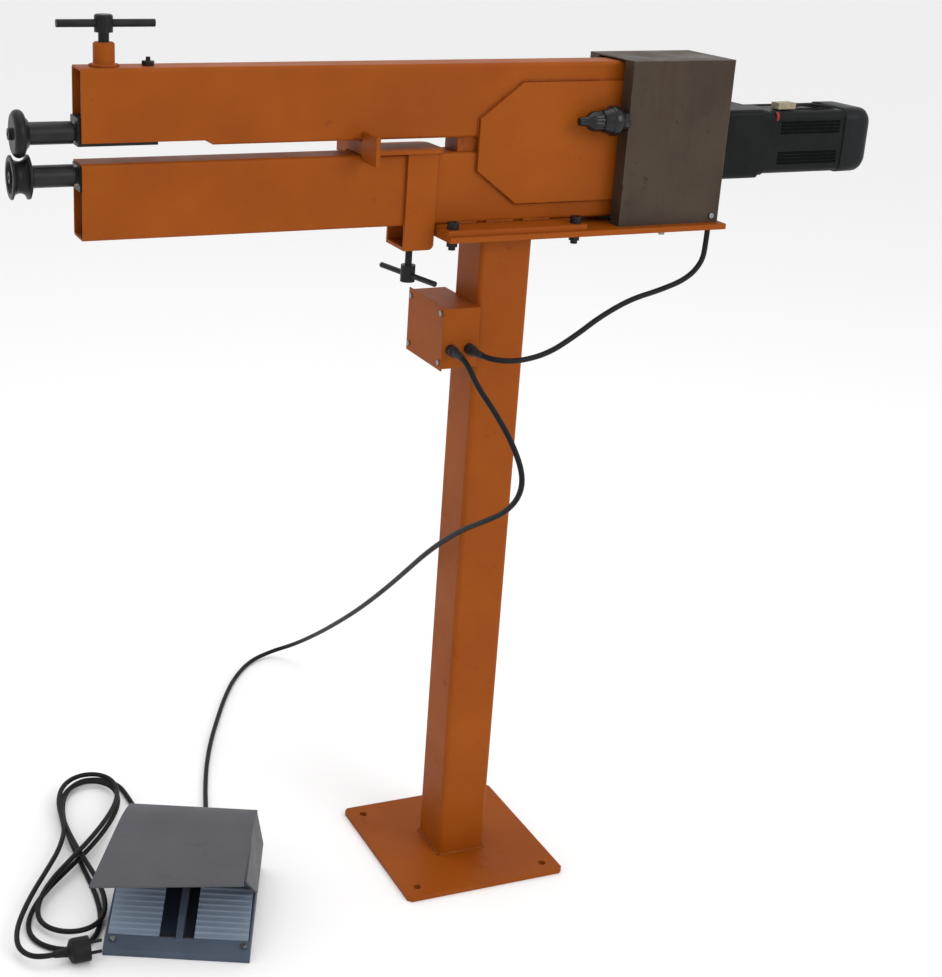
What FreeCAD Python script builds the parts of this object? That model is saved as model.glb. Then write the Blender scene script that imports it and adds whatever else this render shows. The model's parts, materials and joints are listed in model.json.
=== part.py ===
import FreeCAD, Part
import math
import os
import Sketcher

# Motorised bead roller on a pedestal stand, with its foot pedal and cords.
# Millimetres. Origin: underside of the floor plate, on the column's axis.
# +X runs along the arms towards the motor, -X towards the rolls, +Z is up.

Vector = FreeCAD.Vector
AXES = {"x": Vector(1, 0, 0), "y": Vector(0, 1, 0), "z": Vector(0, 0, 1)}

DRIVING = {
    # stand
    "base_side": 270, "base_thick": 8, "base_chamfer": 6, "floor_bolt_pitch": 220, "floor_bolt_radius": 6,
    "column_side": 80, "column_wall": 4, "column_corner": 8, "column_top": 1024,
    "plate_thick": 8, "stand_left": 108, "stand_right": 336, "stand_half": 76,
    "foot_half_length": 108, "foot_half_width": 70, "foot_bolt_x": 96, "foot_bolt_y": 57,
    # arms and throat
    "arm_left": 610, "arm_right": 176, "arm_width": 50, "arm_height": 100, "arm_wall": 3,
    "arm_corner": 5, "arm_gap": 20, "notch_length": 173, "notch_height": 6.5,
    "gusset_left": 51, "gusset_half": 84, "gusset_flat": 36, "gusset_slope": 63, "gusset_thick": 6,
    "throat_left": 79, "throat_half_width": 20,
    # shafts, bearings and gears
    "shaft_pitch": 55, "journal_radius": 11, "nose_radius": 14.5, "spigot_radius": 8,
    "tail_radius": 10, "bush_radius": 13.5, "bush_clearance": 0.04, "swivel_clearance": 0.09,
    "nose_left": 674, "nose_right": 617, "spigot_left": 696,
    "block_left": 614, "block_right": 508, "block_half_width": 20, "block_below": 15.5,
    "block_above": 20.5, "front_block_right": 530, "front_block_below": 18.5,
    "bearing_plate_thick": 12, "bearing_plate_half": 45,
    "gear_left": 195, "gear_width": 20, "gear_teeth": 22, "gear_module": 2.5,
    # rolls
    "roll_centre": 686.5, "upper_roll_radius": 30.5, "bead_radius": 8,
    "lower_roll_radius": 28.5, "groove_radius": 10.25, "groove_floor": 20.5,
    # drive
    "cover_left": 165, "cover_right": 330, "cover_half": 61, "cover_top": 1264, "cover_sheet": 2,
    "cover_notch_half": 37, "mount_plate_left": 316, "mount_plate_half": 50,
    "gearbox_side": 100, "gearbox_right": 398, "motor_side": 95, "motor_right": 545,
    "cowl_right": 598, "gearhead_offset": 18.5,
    # pressure screw
    "screw_x": 574, "boss_radius": 14, "boss_height": 30, "screw_radius": 7, "head_radius": 12,
    "head_base": 1302, "head_height": 22, "bar_radius": 5, "bar_length": 128, "bar_level": 1313,
    "pad_radius": 11, "pad_height": 6, "contact_gap": 0.3, "anchor_x": 516,
    # work guide
    "guide_left": 157, "guide_width": 45, "guide_thick": 5, "guide_inner_half": 26,
    "guide_floor": 1006, "guide_bar_right": 104, "guide_bar_near": 36,
    "guide_bar_thick": 6, "fence_x": 225, "fence_near": 76, "fence_far": 64,
    "clamp_hub_radius": 10.5, "clamp_hub_height": 24, "clamp_hub_top": 979,
    "clamp_screw_radius": 5, "clamp_bar_radius": 4, "clamp_bar_angle": -78,
    # control box and selector
    "box_left": 98, "box_near": 50, "box_far": 70, "box_floor": 836, "box_top": 924, "box_sheet": 2,
    "gland_radius": 8, "gland_length": 14, "gland_level": 864, "first_gland_x": 84, "second_gland_x": 55,
    "knob_y": 53, "knob_z": 1182, "knob_body_radius": 21,
    # foot pedal
    "pedal_width": 216, "pedal_depth": 245, "pedal_floor_thick": 6, "treadle_width": 76,
    "pedal_cheek_height": 48, "hood_level": 116, "hood_sheet": 3,
    # cords
    "cord_radius": 4,
}


class Size:
    """A length that knows both its value and its formula in the sheet's cells."""

    def __init__(self, value, text):
        self.value = float(value)
        self.text = text

    def joined(self, sign, other, value):
        return Size(value, f"({self.text} {sign} {other.text})")

    def __add__(self, other):
        other = as_size(other)
        return self.joined("+", other, self.value + other.value)

    def __sub__(self, other):
        other = as_size(other)
        return self.joined("-", other, self.value - other.value)

    def __mul__(self, other):
        other = as_size(other)
        return self.joined("*", other, self.value * other.value)

    def __truediv__(self, other):
        other = as_size(other)
        return self.joined("/", other, self.value / other.value)

    def __radd__(self, other):
        return as_size(other) + self

    def __rsub__(self, other):
        return as_size(other) - self

    def __rmul__(self, other):
        return as_size(other) * self

    def __neg__(self):
        return Size(-self.value, f"(0 - {self.text})")


def as_size(number):
    return number if isinstance(number, Size) else Size(number, f"({number})")


class Dimensions:
    """The sheet's cells, each one an attribute."""


def make_sheet():
    """Write the driving dimensions into a spreadsheet and return them as sizes."""
    sheet = doc.addObject("Spreadsheet::Sheet", "Sheet")
    cells = Dimensions()
    for row, (alias, number) in enumerate(DRIVING.items(), 1):
        sheet.set(f"A{row}", alias)
        sheet.set(f"B{row}", str(number))
        sheet.setAlias(f"B{row}", alias)
        setattr(cells, alias, Size(number, f"Sheet.{alias}"))
    doc.recompute()
    return cells


doc = FreeCAD.newDocument("BeadRoller")
D = make_sheet()

# Levels and centres that many pieces share.
ARM_FLOOR = D.column_top + 2 * D.plate_thick
LOWER_TOP = ARM_FLOOR + D.arm_height
UPPER_FLOOR = LOWER_TOP + D.arm_gap
UPPER_TOP = UPPER_FLOOR + D.arm_height
MID_LEVEL = LOWER_TOP + D.arm_gap / 2
UPPER_AXIS = MID_LEVEL + D.shaft_pitch / 2
LOWER_AXIS = MID_LEVEL - D.shaft_pitch / 2
MOTOR_AXIS = LOWER_AXIS + D.gearhead_offset
GUIDE_CENTRE = -D.guide_left + D.guide_width / 2
HOLE_SPARE = 5

NODES = []


# ---------------------------------------------------------------- helpers

def node(item):
    """Mark a finished sub-part, to be written out under its label."""
    NODES.append(item)
    return item


def bind(item, name, size):
    item.setExpression(name, as_size(size).text)


def bind_place(item, x, y, z):
    for axis, size in (("x", x), ("y", y), ("z", z)):
        bind(item, "Placement.Base." + axis, size)


def block(label, x, y, z):
    """Rectangular solid between a low and a high size along each axis."""
    item = doc.addObject("Part::Box", label)
    for (low, high), name in ((x, "Length"), (y, "Width"), (z, "Height")):
        bind(item, name, as_size(high) - low)
    bind_place(item, x[0], y[0], z[0])
    return item


def rod(label, radius, start, axis, length):
    """Cylinder from a start point along x, y or z."""
    item = doc.addObject("Part::Cylinder", label)
    item.Placement = FreeCAD.Placement(Vector(), FreeCAD.Rotation(AXES["z"], AXES[axis]))
    bind(item, "Radius", radius)
    bind(item, "Height", length)
    bind_place(item, *start)
    return item


def fuse(label, *items):
    item = doc.addObject("Part::MultiFuse", label)
    item.Shapes = list(items)
    item.Refine = True
    return item


def cut(label, base, *tools):
    item = doc.addObject("Part::Cut", label)
    item.Base = base
    item.Tool = tools[0] if len(tools) == 1 else fuse(label + "_tools", *tools)
    item.Refine = True
    return item


def group(label, *items):
    """Several separate solids in one sub-part."""
    item = doc.addObject("Part::Compound", label)
    item.Links = list(items)
    return item


def rounded(label, base, radius, axis, choose=None):
    """Round the straight edges parallel to an axis, or those of them that choose picks."""
    doc.recompute()
    edges = []
    for number, edge in enumerate(base.Shape.Edges, 1):
        straight = isinstance(edge.Curve, Part.Line)
        if not straight or abs(edge.Curve.Direction.dot(AXES[axis])) < 0.999:
            continue
        if choose is None or choose(edge.CenterOfMass):
            edges.append((number, radius, radius))
    item = doc.addObject("Part::Fillet", label)
    item.Base = base
    item.Edges = edges
    return item


def bored_disc(label, outer, inner, start, axis, length):
    """Ring with a plain bore."""
    return cut(label, rod(label + "_body", outer, start, axis, length),
               rod(label + "_bore", inner, start, axis, length))


# Sketched pieces: a closed outline of points whose coordinates follow the sheet.

def draw_outline(sketch, outline):
    """Outline of (across, up) points; a third entry makes the side that ends there an arc
    of that radius, bulging to the left of travel when it is positive."""
    count = len(outline)
    corners = [Vector(as_size(p[0]).value, as_size(p[1]).value, 0) for p in outline]
    for index in range(count):
        start, end = corners[index], corners[(index + 1) % count]
        target = outline[(index + 1) % count]
        if len(target) == 3:
            sketch.addGeometry(arc_between(start, end, as_size(target[2]).value), False)
        else:
            sketch.addGeometry(Part.LineSegment(start, end), False)
    for index in range(count):
        following = (index + 1) % count
        last = side_ends(outline, index)[1]
        first = side_ends(outline, following)[0]
        sketch.addConstraint(Sketcher.Constraint("Coincident", index, last, following, first))
    for index in range(count):
        place_corner(sketch, index, side_ends(outline, index)[0], outline[index])
        if len(outline[(index + 1) % count]) == 3:
            radius = as_size(outline[(index + 1) % count][2])
            number = sketch.addConstraint(Sketcher.Constraint("Radius", index, abs(radius.value)))
            sign = 1 if radius.value > 0 else -1
            sketch.setExpression(f"Constraints[{number}]", (radius * sign).text)


def side_ends(outline, index):
    """Numbers of a side's first and last points; arcs always run anticlockwise."""
    target = outline[(index + 1) % len(outline)]
    clockwise = len(target) == 3 and as_size(target[2]).value > 0
    return (2, 1) if clockwise else (1, 2)


def place_corner(sketch, index, end, sizes):
    """Tie a corner's two coordinates to their formulas."""
    for kind, size in (("DistanceX", as_size(sizes[0])), ("DistanceY", as_size(sizes[1]))):
        number = sketch.addConstraint(Sketcher.Constraint(kind, -1, 1, index, end, size.value))
        sketch.setExpression(f"Constraints[{number}]", size.text)


def arc_between(start, end, radius):
    """Arc of less than half a turn; a positive radius bulges to the left of travel."""
    chord = end - start
    left = Vector(-chord.y, chord.x, 0).normalize()
    half = chord.Length / 2
    rise = abs(radius) - math.sqrt(max(radius * radius - half * half, 0))
    middle = (start + end) / 2 + left * math.copysign(rise, radius)
    return Part.Arc(start, middle, end)


def start_body(label, plane, outline):
    """Body with one sketch on an origin plane."""
    body = doc.addObject("PartDesign::Body", label)
    sketch = body.newObject("Sketcher::SketchObject", label + "_outline")
    support = [feature for feature in body.Origin.OriginFeatures if feature.Role == plane]
    sketch.AttachmentSupport = [(support[0], "")]
    sketch.MapMode = "FlatFace"
    draw_outline(sketch, outline)
    return body, sketch


def padded(label, plane, outline, length, place):
    """Outline on a plane, padded by a length along the plane's normal."""
    body, sketch = start_body(label, plane, outline)
    pad = body.newObject("PartDesign::Pad", label + "_pad")
    pad.Profile = sketch
    bind(pad, "Length", length)
    body.Tip = pad
    bind_place(body, *place)
    return body


def turned(label, outline, place, axis="x"):
    """Outline of (along, radius) points turned about x, or of (radius, along) about z."""
    body, sketch = start_body(label, "XZ_Plane", outline)
    turn = body.newObject("PartDesign::Revolution", label + "_turn")
    turn.Profile = sketch
    turn.ReferenceAxis = (sketch, ["H_Axis"] if axis == "x" else ["V_Axis"])
    turn.Angle = 360
    body.Tip = turn
    bind_place(body, *place)
    return body


def rectangle(x, y):
    return [(x[0], y[0]), (x[1], y[0]), (x[1], y[1]), (x[0], y[1])]


def feature(label, shape, place=None):
    """Sub-part whose shape is worked out in code."""
    item = doc.addObject("Part::Feature", label)
    item.Shape = shape
    if place is not None:
        item.Placement = place
    return item


# ---------------------------------------------------------------- stand

def square_holes(label, half_x, half_y, radius, floor, height):
    """Four upright rods at the corners of a rectangle."""
    rods = []
    for index, (sign_x, sign_y) in enumerate(((-1, -1), (1, -1), (1, 1), (-1, 1))):
        spot = (sign_x * half_x, sign_y * half_y, floor)
        rods.append(rod(f"{label}_{index}", radius, spot, "z", height))
    return rods


def make_base_plate():
    half = D.base_side / 2
    nip = D.base_chamfer
    outline = [(nip - half, -half), (half - nip, -half), (half, nip - half), (half, half - nip),
               (half - nip, half), (nip - half, half), (-half, half - nip), (-half, nip - half)]
    plate = padded("base_plate_blank", "XY_Plane", outline, D.base_thick, (0, 0, 0))
    pitch = D.floor_bolt_pitch / 2
    holes = square_holes("floor_hole", pitch, pitch, D.floor_bolt_radius, 0, D.base_thick)
    node(cut("base_plate", plate, *holes))


def hollow_section(label, x, y, z, wall, corner, axis):
    """Rolled hollow section with rounded corners, open at both ends along its axis."""
    spans = {"x": x, "y": y, "z": z}
    inner = {}
    for name, (low, high) in spans.items():
        inner[name] = (low, high) if name == axis else (low + wall, as_size(high) - wall)
    outside = rounded(label + "_outside", block(label + "_stock", x, y, z), corner, axis)
    hollow = block(label + "_core", inner["x"], inner["y"], inner["z"])
    inside = rounded(label + "_inside", hollow, max(corner - wall.value, 1), axis)
    return outside, inside


def make_column():
    half = D.column_side / 2
    outside, inside = hollow_section("column", (-half, half), (-half, half),
                                     (D.base_thick, D.column_top), D.column_wall,
                                     D.column_corner.value, "z")
    node(cut("column", outside, inside))


def make_stand_plates():
    top = D.column_top
    stand = block("stand_stock", (-D.stand_left, D.stand_right), (-D.stand_half, D.stand_half),
                  (top, top + D.plate_thick))
    holes = square_holes("stand_hole", D.foot_bolt_x, D.foot_bolt_y, D.clamp_screw_radius, top,
                         D.plate_thick)
    wire_hole = rod("wire_hole", CABLE_HOLE_RADIUS, (CABLE_HOLE_X, CABLE_HOLE_Y, top), "z", D.plate_thick)
    node(cut("stand_top_plate", stand, wire_hole, *holes))
    foot_floor = top + D.plate_thick
    foot = block("foot_stock", (-D.foot_half_length, D.foot_half_length),
                 (-D.foot_half_width, D.foot_half_width), (foot_floor, foot_floor + D.plate_thick))
    holes = square_holes("foot_hole", D.foot_bolt_x, D.foot_bolt_y, D.clamp_screw_radius,
                         foot_floor, D.plate_thick)
    node(cut("machine_foot_plate", foot, *holes))


CABLE_HOLE_X = 321
CABLE_HOLE_Y = -53
CABLE_HOLE_RADIUS = 7


def make_foot_bolts():
    """Socket head screws through both plates, with a nut below each."""
    screws = []
    nuts = []
    head_radius, head_height, socket_radius, socket_depth = 8, 10, 4, 5
    nut_radius, nut_height, tail = 8.5, 8, 5
    floor = ARM_FLOOR
    for index, (sign_x, sign_y) in enumerate(((-1, -1), (1, -1), (1, 1), (-1, 1))):
        x = sign_x * D.foot_bolt_x
        y = sign_y * D.foot_bolt_y
        length = 2 * D.plate_thick + nut_height + tail
        shank = rod(f"bolt_shank_{index}", D.clamp_screw_radius, (x, y, floor - length), "z", length)
        head = rod(f"bolt_head_{index}", head_radius, (x, y, floor), "z", head_height)
        socket = rod(f"bolt_socket_{index}", socket_radius,
                     (x, y, floor + head_height - socket_depth), "z", socket_depth)
        screws.append(cut(f"bolt_{index}", fuse(f"bolt_body_{index}", shank, head), socket))
        nut_floor = D.column_top - nut_height
        nut = prism(f"nut_blank_{index}", nut_radius, 6, (x, y, nut_floor), nut_height)
        hole = rod(f"nut_hole_{index}", D.clamp_screw_radius, (x, y, nut_floor), "z", nut_height)
        nuts.append(cut(f"nut_{index}", nut, hole))
    node(group("foot_plate_bolts", *screws, *nuts))


def prism(label, radius, sides, place, height):
    """Upright regular prism; its radius is measured to the corners."""
    item = doc.addObject("Part::Prism", label)
    item.Polygon = sides
    bind(item, "Circumradius", radius)
    bind(item, "Height", height)
    bind_place(item, *place)
    return item


# ---------------------------------------------------------------- arms

def make_arms():
    half = D.arm_width / 2
    ends = (-D.arm_left, D.arm_right)
    outside, inside = hollow_section("lower_arm", ends, (-half, half), (ARM_FLOOR, LOWER_TOP),
                                     D.arm_wall, D.arm_corner.value, "x")
    node(cut("lower_arm", outside, inside))
    outside, inside = hollow_section("upper_arm", ends, (-half, half), (UPPER_FLOOR, UPPER_TOP),
                                     D.arm_wall, D.arm_corner.value, "x")
    notch = padded("upper_arm_notch", "XZ_Plane", [
        (-D.arm_left - HOLE_SPARE, UPPER_FLOOR - HOLE_SPARE),
        (D.notch_length - D.arm_left + 3, UPPER_FLOOR - HOLE_SPARE),
        (D.notch_length - D.arm_left + 3, UPPER_FLOOR),
        (D.notch_length - D.arm_left - 6, UPPER_FLOOR + D.notch_height),
        (-D.arm_left - HOLE_SPARE, UPPER_FLOOR + D.notch_height)], D.arm_width, (0, half, 0))
    boss_hole = rod("boss_hole", D.screw_radius + 0.5, (-D.screw_x, 0, UPPER_TOP - D.arm_corner), "z", 10)
    anchor_hole = rod("anchor_hole", 3, (-D.anchor_x, 0, UPPER_TOP - D.arm_corner), "z", 10)
    node(cut("upper_arm", outside, inside, notch, boss_hole, anchor_hole))


def make_gussets():
    """Eight-sided cheek plates that tie the two arms together at the throat."""
    top = MID_LEVEL + D.gusset_half
    floor = MID_LEVEL - D.gusset_half
    outline = [(-D.gusset_left, MID_LEVEL - D.gusset_flat), (D.gusset_slope - D.gusset_left, floor),
               (D.arm_right, floor), (D.arm_right, top), (D.gusset_slope - D.gusset_left, top),
               (-D.gusset_left, MID_LEVEL + D.gusset_flat)]
    half = D.arm_width / 2
    node(padded("near_gusset", "XZ_Plane", outline, D.gusset_thick, (0, -half, 0)))
    node(padded("far_gusset", "XZ_Plane", outline, D.gusset_thick, (0, half + D.gusset_thick, 0)))
    node(block("throat_spacer", (-D.throat_left, D.arm_right),
               (-D.throat_half_width, D.throat_half_width), (LOWER_TOP, UPPER_FLOOR)))


def make_bearing_plate():
    """Plate across the arms' rear ends that carries the rear bearings."""
    left = D.arm_right
    stock = block("bearing_plate_stock", (left, left + D.bearing_plate_thick),
                  (-D.bearing_plate_half, D.bearing_plate_half), (D.column_top + D.plate_thick, UPPER_TOP))
    seats = []
    for name, level in (("upper", UPPER_AXIS), ("lower", LOWER_AXIS)):
        seats.append(rod(f"{name}_seat", BEARING_RADIUS, (left, 0, level), "x", D.bearing_plate_thick))
    node(cut("rear_bearing_plate", stock, *seats))
    rings = [bored_disc(f"{name}_ring", BEARING_RADIUS, D.journal_radius + spare, (left, 0, level), "x",
                         D.bearing_plate_thick)
             for name, level, spare in (("upper", UPPER_AXIS, D.swivel_clearance),
                                        ("lower", LOWER_AXIS, D.bush_clearance))]
    node(group("rear_bearings", *rings))


BEARING_RADIUS = 20


# ---------------------------------------------------------------- shafts and rolls

def shaft_outline():
    """Stepped shaft: spigot for the roll, thick nose, long journal and a tail for the gear."""
    thread_depth = 18
    return [(-D.spigot_left, 4), (-D.spigot_left, D.spigot_radius), (-D.nose_left, D.spigot_radius),
            (-D.nose_left, D.nose_radius), (-D.nose_right, D.nose_radius),
            (-D.nose_right, D.journal_radius), (D.gear_left - 1, D.journal_radius),
            (D.gear_left - 1, D.tail_radius), (SHAFT_END, D.tail_radius), (SHAFT_END, 0),
            (thread_depth - D.spigot_left, 0), (thread_depth - D.spigot_left, 4)]


SHAFT_END = 239


def make_shafts():
    node(turned("upper_shaft", shaft_outline(), (0, 0, UPPER_AXIS)))
    node(turned("lower_shaft", shaft_outline(), (0, 0, LOWER_AXIS)))


def make_rolls():
    """Beading roll above, with a round rim, and a grooved roll below it."""
    centre = -D.roll_centre
    rim = D.upper_roll_radius - D.bead_radius
    hub = D.spigot_radius
    node(turned("upper_roll", [
        (centre - D.bead_radius, hub), (centre - D.bead_radius, 12), (centre - D.bead_radius, rim),
        (centre, D.upper_roll_radius, D.bead_radius),
        (centre + D.bead_radius, rim, D.bead_radius),
        (-D.nose_left, D.nose_radius + 3), (-D.nose_left, hub)], (0, 0, UPPER_AXIS)))
    half = 10
    tip = 2.6
    node(turned("lower_roll", [
        (-ROLL_END, 21), (-ROLL_END, D.lower_roll_radius - 1.5),
        (centre - half - tip + 1.2, D.lower_roll_radius),
        (centre - half, D.lower_roll_radius),
        (centre, D.groove_floor, -D.groove_radius), (centre + half, D.lower_roll_radius, -D.groove_radius),
        (centre + half + tip, D.lower_roll_radius), (centre + half + tip + 3, D.nose_radius + 5),
        (-D.nose_left, D.nose_radius + 5), (-D.nose_left, hub), (RECESS_DEPTH - ROLL_END, hub),
        (RECESS_DEPTH - ROLL_END, 19)], (0, 0, LOWER_AXIS)))


ROLL_END = 699
RECESS_DEPTH = 5


def make_roll_screws():
    """Cap screws that hold the rolls on the shaft ends."""
    radius = 7.5
    head = 3.5
    length = 16
    for name, level, face in (("upper", UPPER_AXIS, D.spigot_left), ("lower", LOWER_AXIS, D.spigot_left)):
        cap = rod(f"{name}_screw_cap", radius, (-face - head, 0, level), "x", head)
        shank = rod(f"{name}_screw_shank", 4, (-face, 0, level), "x", length)
        socket = rod(f"{name}_screw_socket", 3, (-face - head, 0, level), "x", head - 1)
        node(cut(f"{name}_roll_screw", fuse(f"{name}_screw_body", cap, shank), socket))


# ---------------------------------------------------------------- bearings and pressure screw

def make_front_bearings():
    """Swinging block that carries the upper shaft, and the fixed block below it."""
    half = D.block_half_width
    stock = block("upper_block_stock", (-D.block_left, -D.block_right), (-half, half),
                  (UPPER_AXIS - D.block_below, UPPER_AXIS + D.block_above))
    nipped = doc.addObject("Part::Chamfer", "upper_block_nipped")
    nipped.Base = stock
    doc.recompute()
    nipped.Edges = [(number, 6, 6) for number, edge in enumerate(stock.Shape.Edges, 1)
                    if is_right_top(edge, stock.Shape.BoundBox)]
    seat = rod("upper_block_seat", D.bush_radius, (-D.block_left, 0, UPPER_AXIS), "x",
               D.block_left - D.block_right)
    node(cut("upper_bearing_block", nipped, seat))
    node(bored_disc("upper_front_bush", D.bush_radius, D.journal_radius + D.bush_clearance,
                     (-D.block_left, 0, UPPER_AXIS), "x", D.block_left - D.block_right))
    lower = block("lower_block_stock", (2 - D.block_left, -D.front_block_right), (-half, half),
                  (LOWER_AXIS - D.front_block_below, LOWER_TOP - D.arm_wall))
    length = D.block_left - D.front_block_right - 2
    seat = rod("lower_block_seat", D.bush_radius, (2 - D.block_left, 0, LOWER_AXIS), "x", length)
    node(cut("lower_bearing_block", lower, seat))
    node(bored_disc("lower_front_bush", D.bush_radius, D.journal_radius + D.bush_clearance,
                     (2 - D.block_left, 0, LOWER_AXIS), "x", length))


def is_right_top(edge, box):
    middle = edge.CenterOfMass
    return abs(middle.x - box.XMax) < 0.1 and abs(middle.z - box.ZMax) < 0.1


def make_pressure_screw():
    """Pad on the block, screw above it, the boss it turns in, and its sliding bar."""
    x = -D.screw_x
    pad_floor = UPPER_AXIS + D.block_above + D.contact_gap
    screw_floor = pad_floor + D.pad_height
    node(rod("pressure_pad", D.pad_radius, (x, 0, pad_floor), "z", D.pad_height))
    stem = rod("screw_stem", D.screw_radius, (x, 0, screw_floor), "z", D.head_base - screw_floor)
    head = rod("screw_head", D.head_radius, (x, 0, D.head_base), "z", D.head_height)
    doc.recompute()
    dome = rounded_rims("screw_head_dome", head, 3)
    hole = rod("screw_cross_hole", D.bar_radius, (x - D.head_radius, 0, D.bar_level), "x", 2 * D.head_radius)
    node(cut("pressure_screw", fuse("screw_blank", stem, dome), hole))
    node(rod("tommy_bar", D.bar_radius, (x - D.bar_length / 2 + 3, 0, D.bar_level), "x", D.bar_length))
    boss = turned("boss_body", [
        (D.screw_radius + 0.06, 0), (D.boss_radius + 4, 0), (D.boss_radius, 4, -6),
        (D.boss_radius, D.boss_height - 2), (D.boss_radius - 2, D.boss_height),
        (D.screw_radius + 0.06, D.boss_height)], (x, 0, UPPER_TOP), "z")
    boss.Label = "screw_boss"
    node(boss)
    bolt_head = prism("anchor_head", 8.5, 6, (-D.anchor_x, 0, UPPER_TOP), 6)
    tail = rod("anchor_tail", 3, (-D.anchor_x, 0, UPPER_TOP - 14), "z", 25)
    node(fuse("spring_anchor_bolt", bolt_head, tail))


def rounded_rims(label, base, radius):
    """Round the circular top edge of an upright cylinder."""
    top = base.Shape.BoundBox.ZMax
    item = doc.addObject("Part::Fillet", label)
    item.Base = base
    item.Edges = [(number, radius, radius) for number, edge in enumerate(base.Shape.Edges, 1)
                  if isinstance(edge.Curve, Part.Circle) and abs(edge.CenterOfMass.z - top) < 0.1]
    return item


# ---------------------------------------------------------------- work guide

def make_guide():
    """Strap round the lower arm that carries a flat bar and the fence through the throat."""
    left = -D.guide_left
    right = left + D.guide_width
    inner = D.guide_inner_half
    outer = inner + D.guide_thick
    bar_floor = LOWER_TOP + 1
    legs = []
    for name, span in (("near", (-outer, -inner)), ("far", (inner, outer))):
        leg = block(f"strap_{name}_stock", (left, right), span, (D.guide_floor, bar_floor))
        legs.append(rounded(f"strap_{name}", leg, 8, "y", is_low_right))
    floor = block("strap_floor", (left, right - 8), (-inner, inner), (D.guide_floor, D.guide_floor + 5))
    thread = rod("strap_thread", D.clamp_screw_radius + 0.05, (GUIDE_CENTRE, 0, D.guide_floor), "z", 5)
    bar = block("guide_bar_stock", (-D.fence_x + 6, -D.guide_bar_right), (-D.guide_bar_near, outer),
                (bar_floor, bar_floor + D.guide_bar_thick))
    bar_end = rounded("guide_bar", bar, 12, "z", is_near_right)
    node(cut("guide_strap", fuse("strap_blank", *legs, floor, bar_end), thread))
    low, high = MID_LEVEL - 17, MID_LEVEL + 22
    neck_low, neck_high = bar_floor, UPPER_FLOOR - 1
    outline = [(-D.fence_near, low), (-inner - 1.5, low), (-inner - 1.5, neck_low), (inner + 2, neck_low),
               (inner + 2, low), (D.fence_far, low), (D.fence_far, high), (inner + 2, high),
               (inner + 2, neck_high), (-inner - 1.5, neck_high), (-inner - 1.5, high), (-D.fence_near, high)]
    node(padded("guide_fence", "YZ_Plane", outline, 6, (-D.fence_x, 0, 0)))


def is_low_right(point):
    return point.x > GUIDE_CENTRE.value and point.z < MID_LEVEL.value - 60


def is_near_right(point):
    return point.x > GUIDE_CENTRE.value


def make_guide_clamp():
    """Clamp screw under the strap, with its pad, hub and bar."""
    top = ARM_FLOOR - D.contact_gap
    pad_floor = top - 5
    node(rod("guide_clamp_pad", 9, (GUIDE_CENTRE, 0, pad_floor), "z", 5))
    hub_floor = D.clamp_hub_top - D.clamp_hub_height
    stem = rod("clamp_stem", D.clamp_screw_radius, (GUIDE_CENTRE, 0, D.clamp_hub_top), "z",
               pad_floor - D.clamp_hub_top)
    hub = rod("clamp_hub", D.clamp_hub_radius, (GUIDE_CENTRE, 0, hub_floor), "z", D.clamp_hub_height)
    level = hub_floor + 10
    bar = cross_bar("guide_clamp_bar", level)
    hole = cross_bar("clamp_cross_hole", level)
    node(cut("guide_clamp_screw", fuse("clamp_blank", stem, hub), hole))
    node(bar)


def cross_bar(label, level):
    """Level bar through the clamp hub, at its angle to the arms."""
    turn = math.radians(DRIVING["clamp_bar_angle"])
    along = Vector(math.cos(turn), math.sin(turn), 0)
    half = D.bar_length / 2
    bar = doc.addObject("Part::Cylinder", label)
    bar.Placement = FreeCAD.Placement(Vector(), FreeCAD.Rotation(AXES["z"], along))
    bind(bar, "Radius", D.clamp_bar_radius)
    bind(bar, "Height", D.bar_length)
    bind_place(bar, GUIDE_CENTRE - half * along.x, half * -along.y, level)
    return bar


# ---------------------------------------------------------------- drive

def make_gears():
    """A pair of equal spur gears, meshed with a little backlash."""
    for name, level, turn in (("upper", UPPER_AXIS, 0.5), ("lower", LOWER_AXIS, 0)):
        node(feature(f"{name}_gear", gear_shape(turn),
                     FreeCAD.Placement(Vector(D.gear_left.value, 0, level.value), FreeCAD.Rotation())))


def gear_shape(phase):
    """Straight-flanked spur gear about +X; phase is a turn in teeth."""
    teeth = DRIVING["gear_teeth"]
    module = DRIVING["gear_module"]
    pitch_radius = teeth * module / 2
    tip, root = pitch_radius + 0.88 * module, pitch_radius - 1.25 * module
    pitch_angle = 2 * math.pi / teeth
    tip_half, root_half = 0.1 * pitch_angle, 0.33 * pitch_angle
    corners = []
    for tooth in range(teeth):
        middle = (tooth + phase) * pitch_angle
        for radius, offset in ((root, -root_half), (tip, -tip_half), (tip, tip_half), (root, root_half)):
            corners.append(Vector(0, radius * math.cos(middle + offset), radius * math.sin(middle + offset)))
    blank = Part.Face(Part.makePolygon(corners + corners[:1])).extrude(Vector(D.gear_width.value, 0, 0))
    bore = Part.makeCylinder(D.tail_radius.value, D.gear_width.value, Vector(), AXES["x"])
    return blank.cut(bore)


def make_coupling():
    """Sleeve that joins the lower shaft to the gearbox's output shaft."""
    left, right = 223, 290
    node(bored_disc("shaft_coupling", 19, D.tail_radius, (left, 0, LOWER_AXIS), "x", right - left))
    start = SHAFT_END + 6
    node(rod("gearbox_output_shaft", D.tail_radius, (start, 0, LOWER_AXIS), "x",
             D.mount_plate_left + 12 + 8 - start))


def make_drive_mount():
    """Upright plate inside the cover that the gearbox is bolted to."""
    half = D.mount_plate_half
    left = D.mount_plate_left
    plate = block("mount_plate_stock", (left, left + 12), (-half, half),
                  (D.column_top + D.plate_thick, MOTOR_AXIS + 53))
    window = rod("mount_plate_window", 22, (left, 0, LOWER_AXIS), "x", 12)
    node(cut("motor_mount_plate", plate, window))


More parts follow.
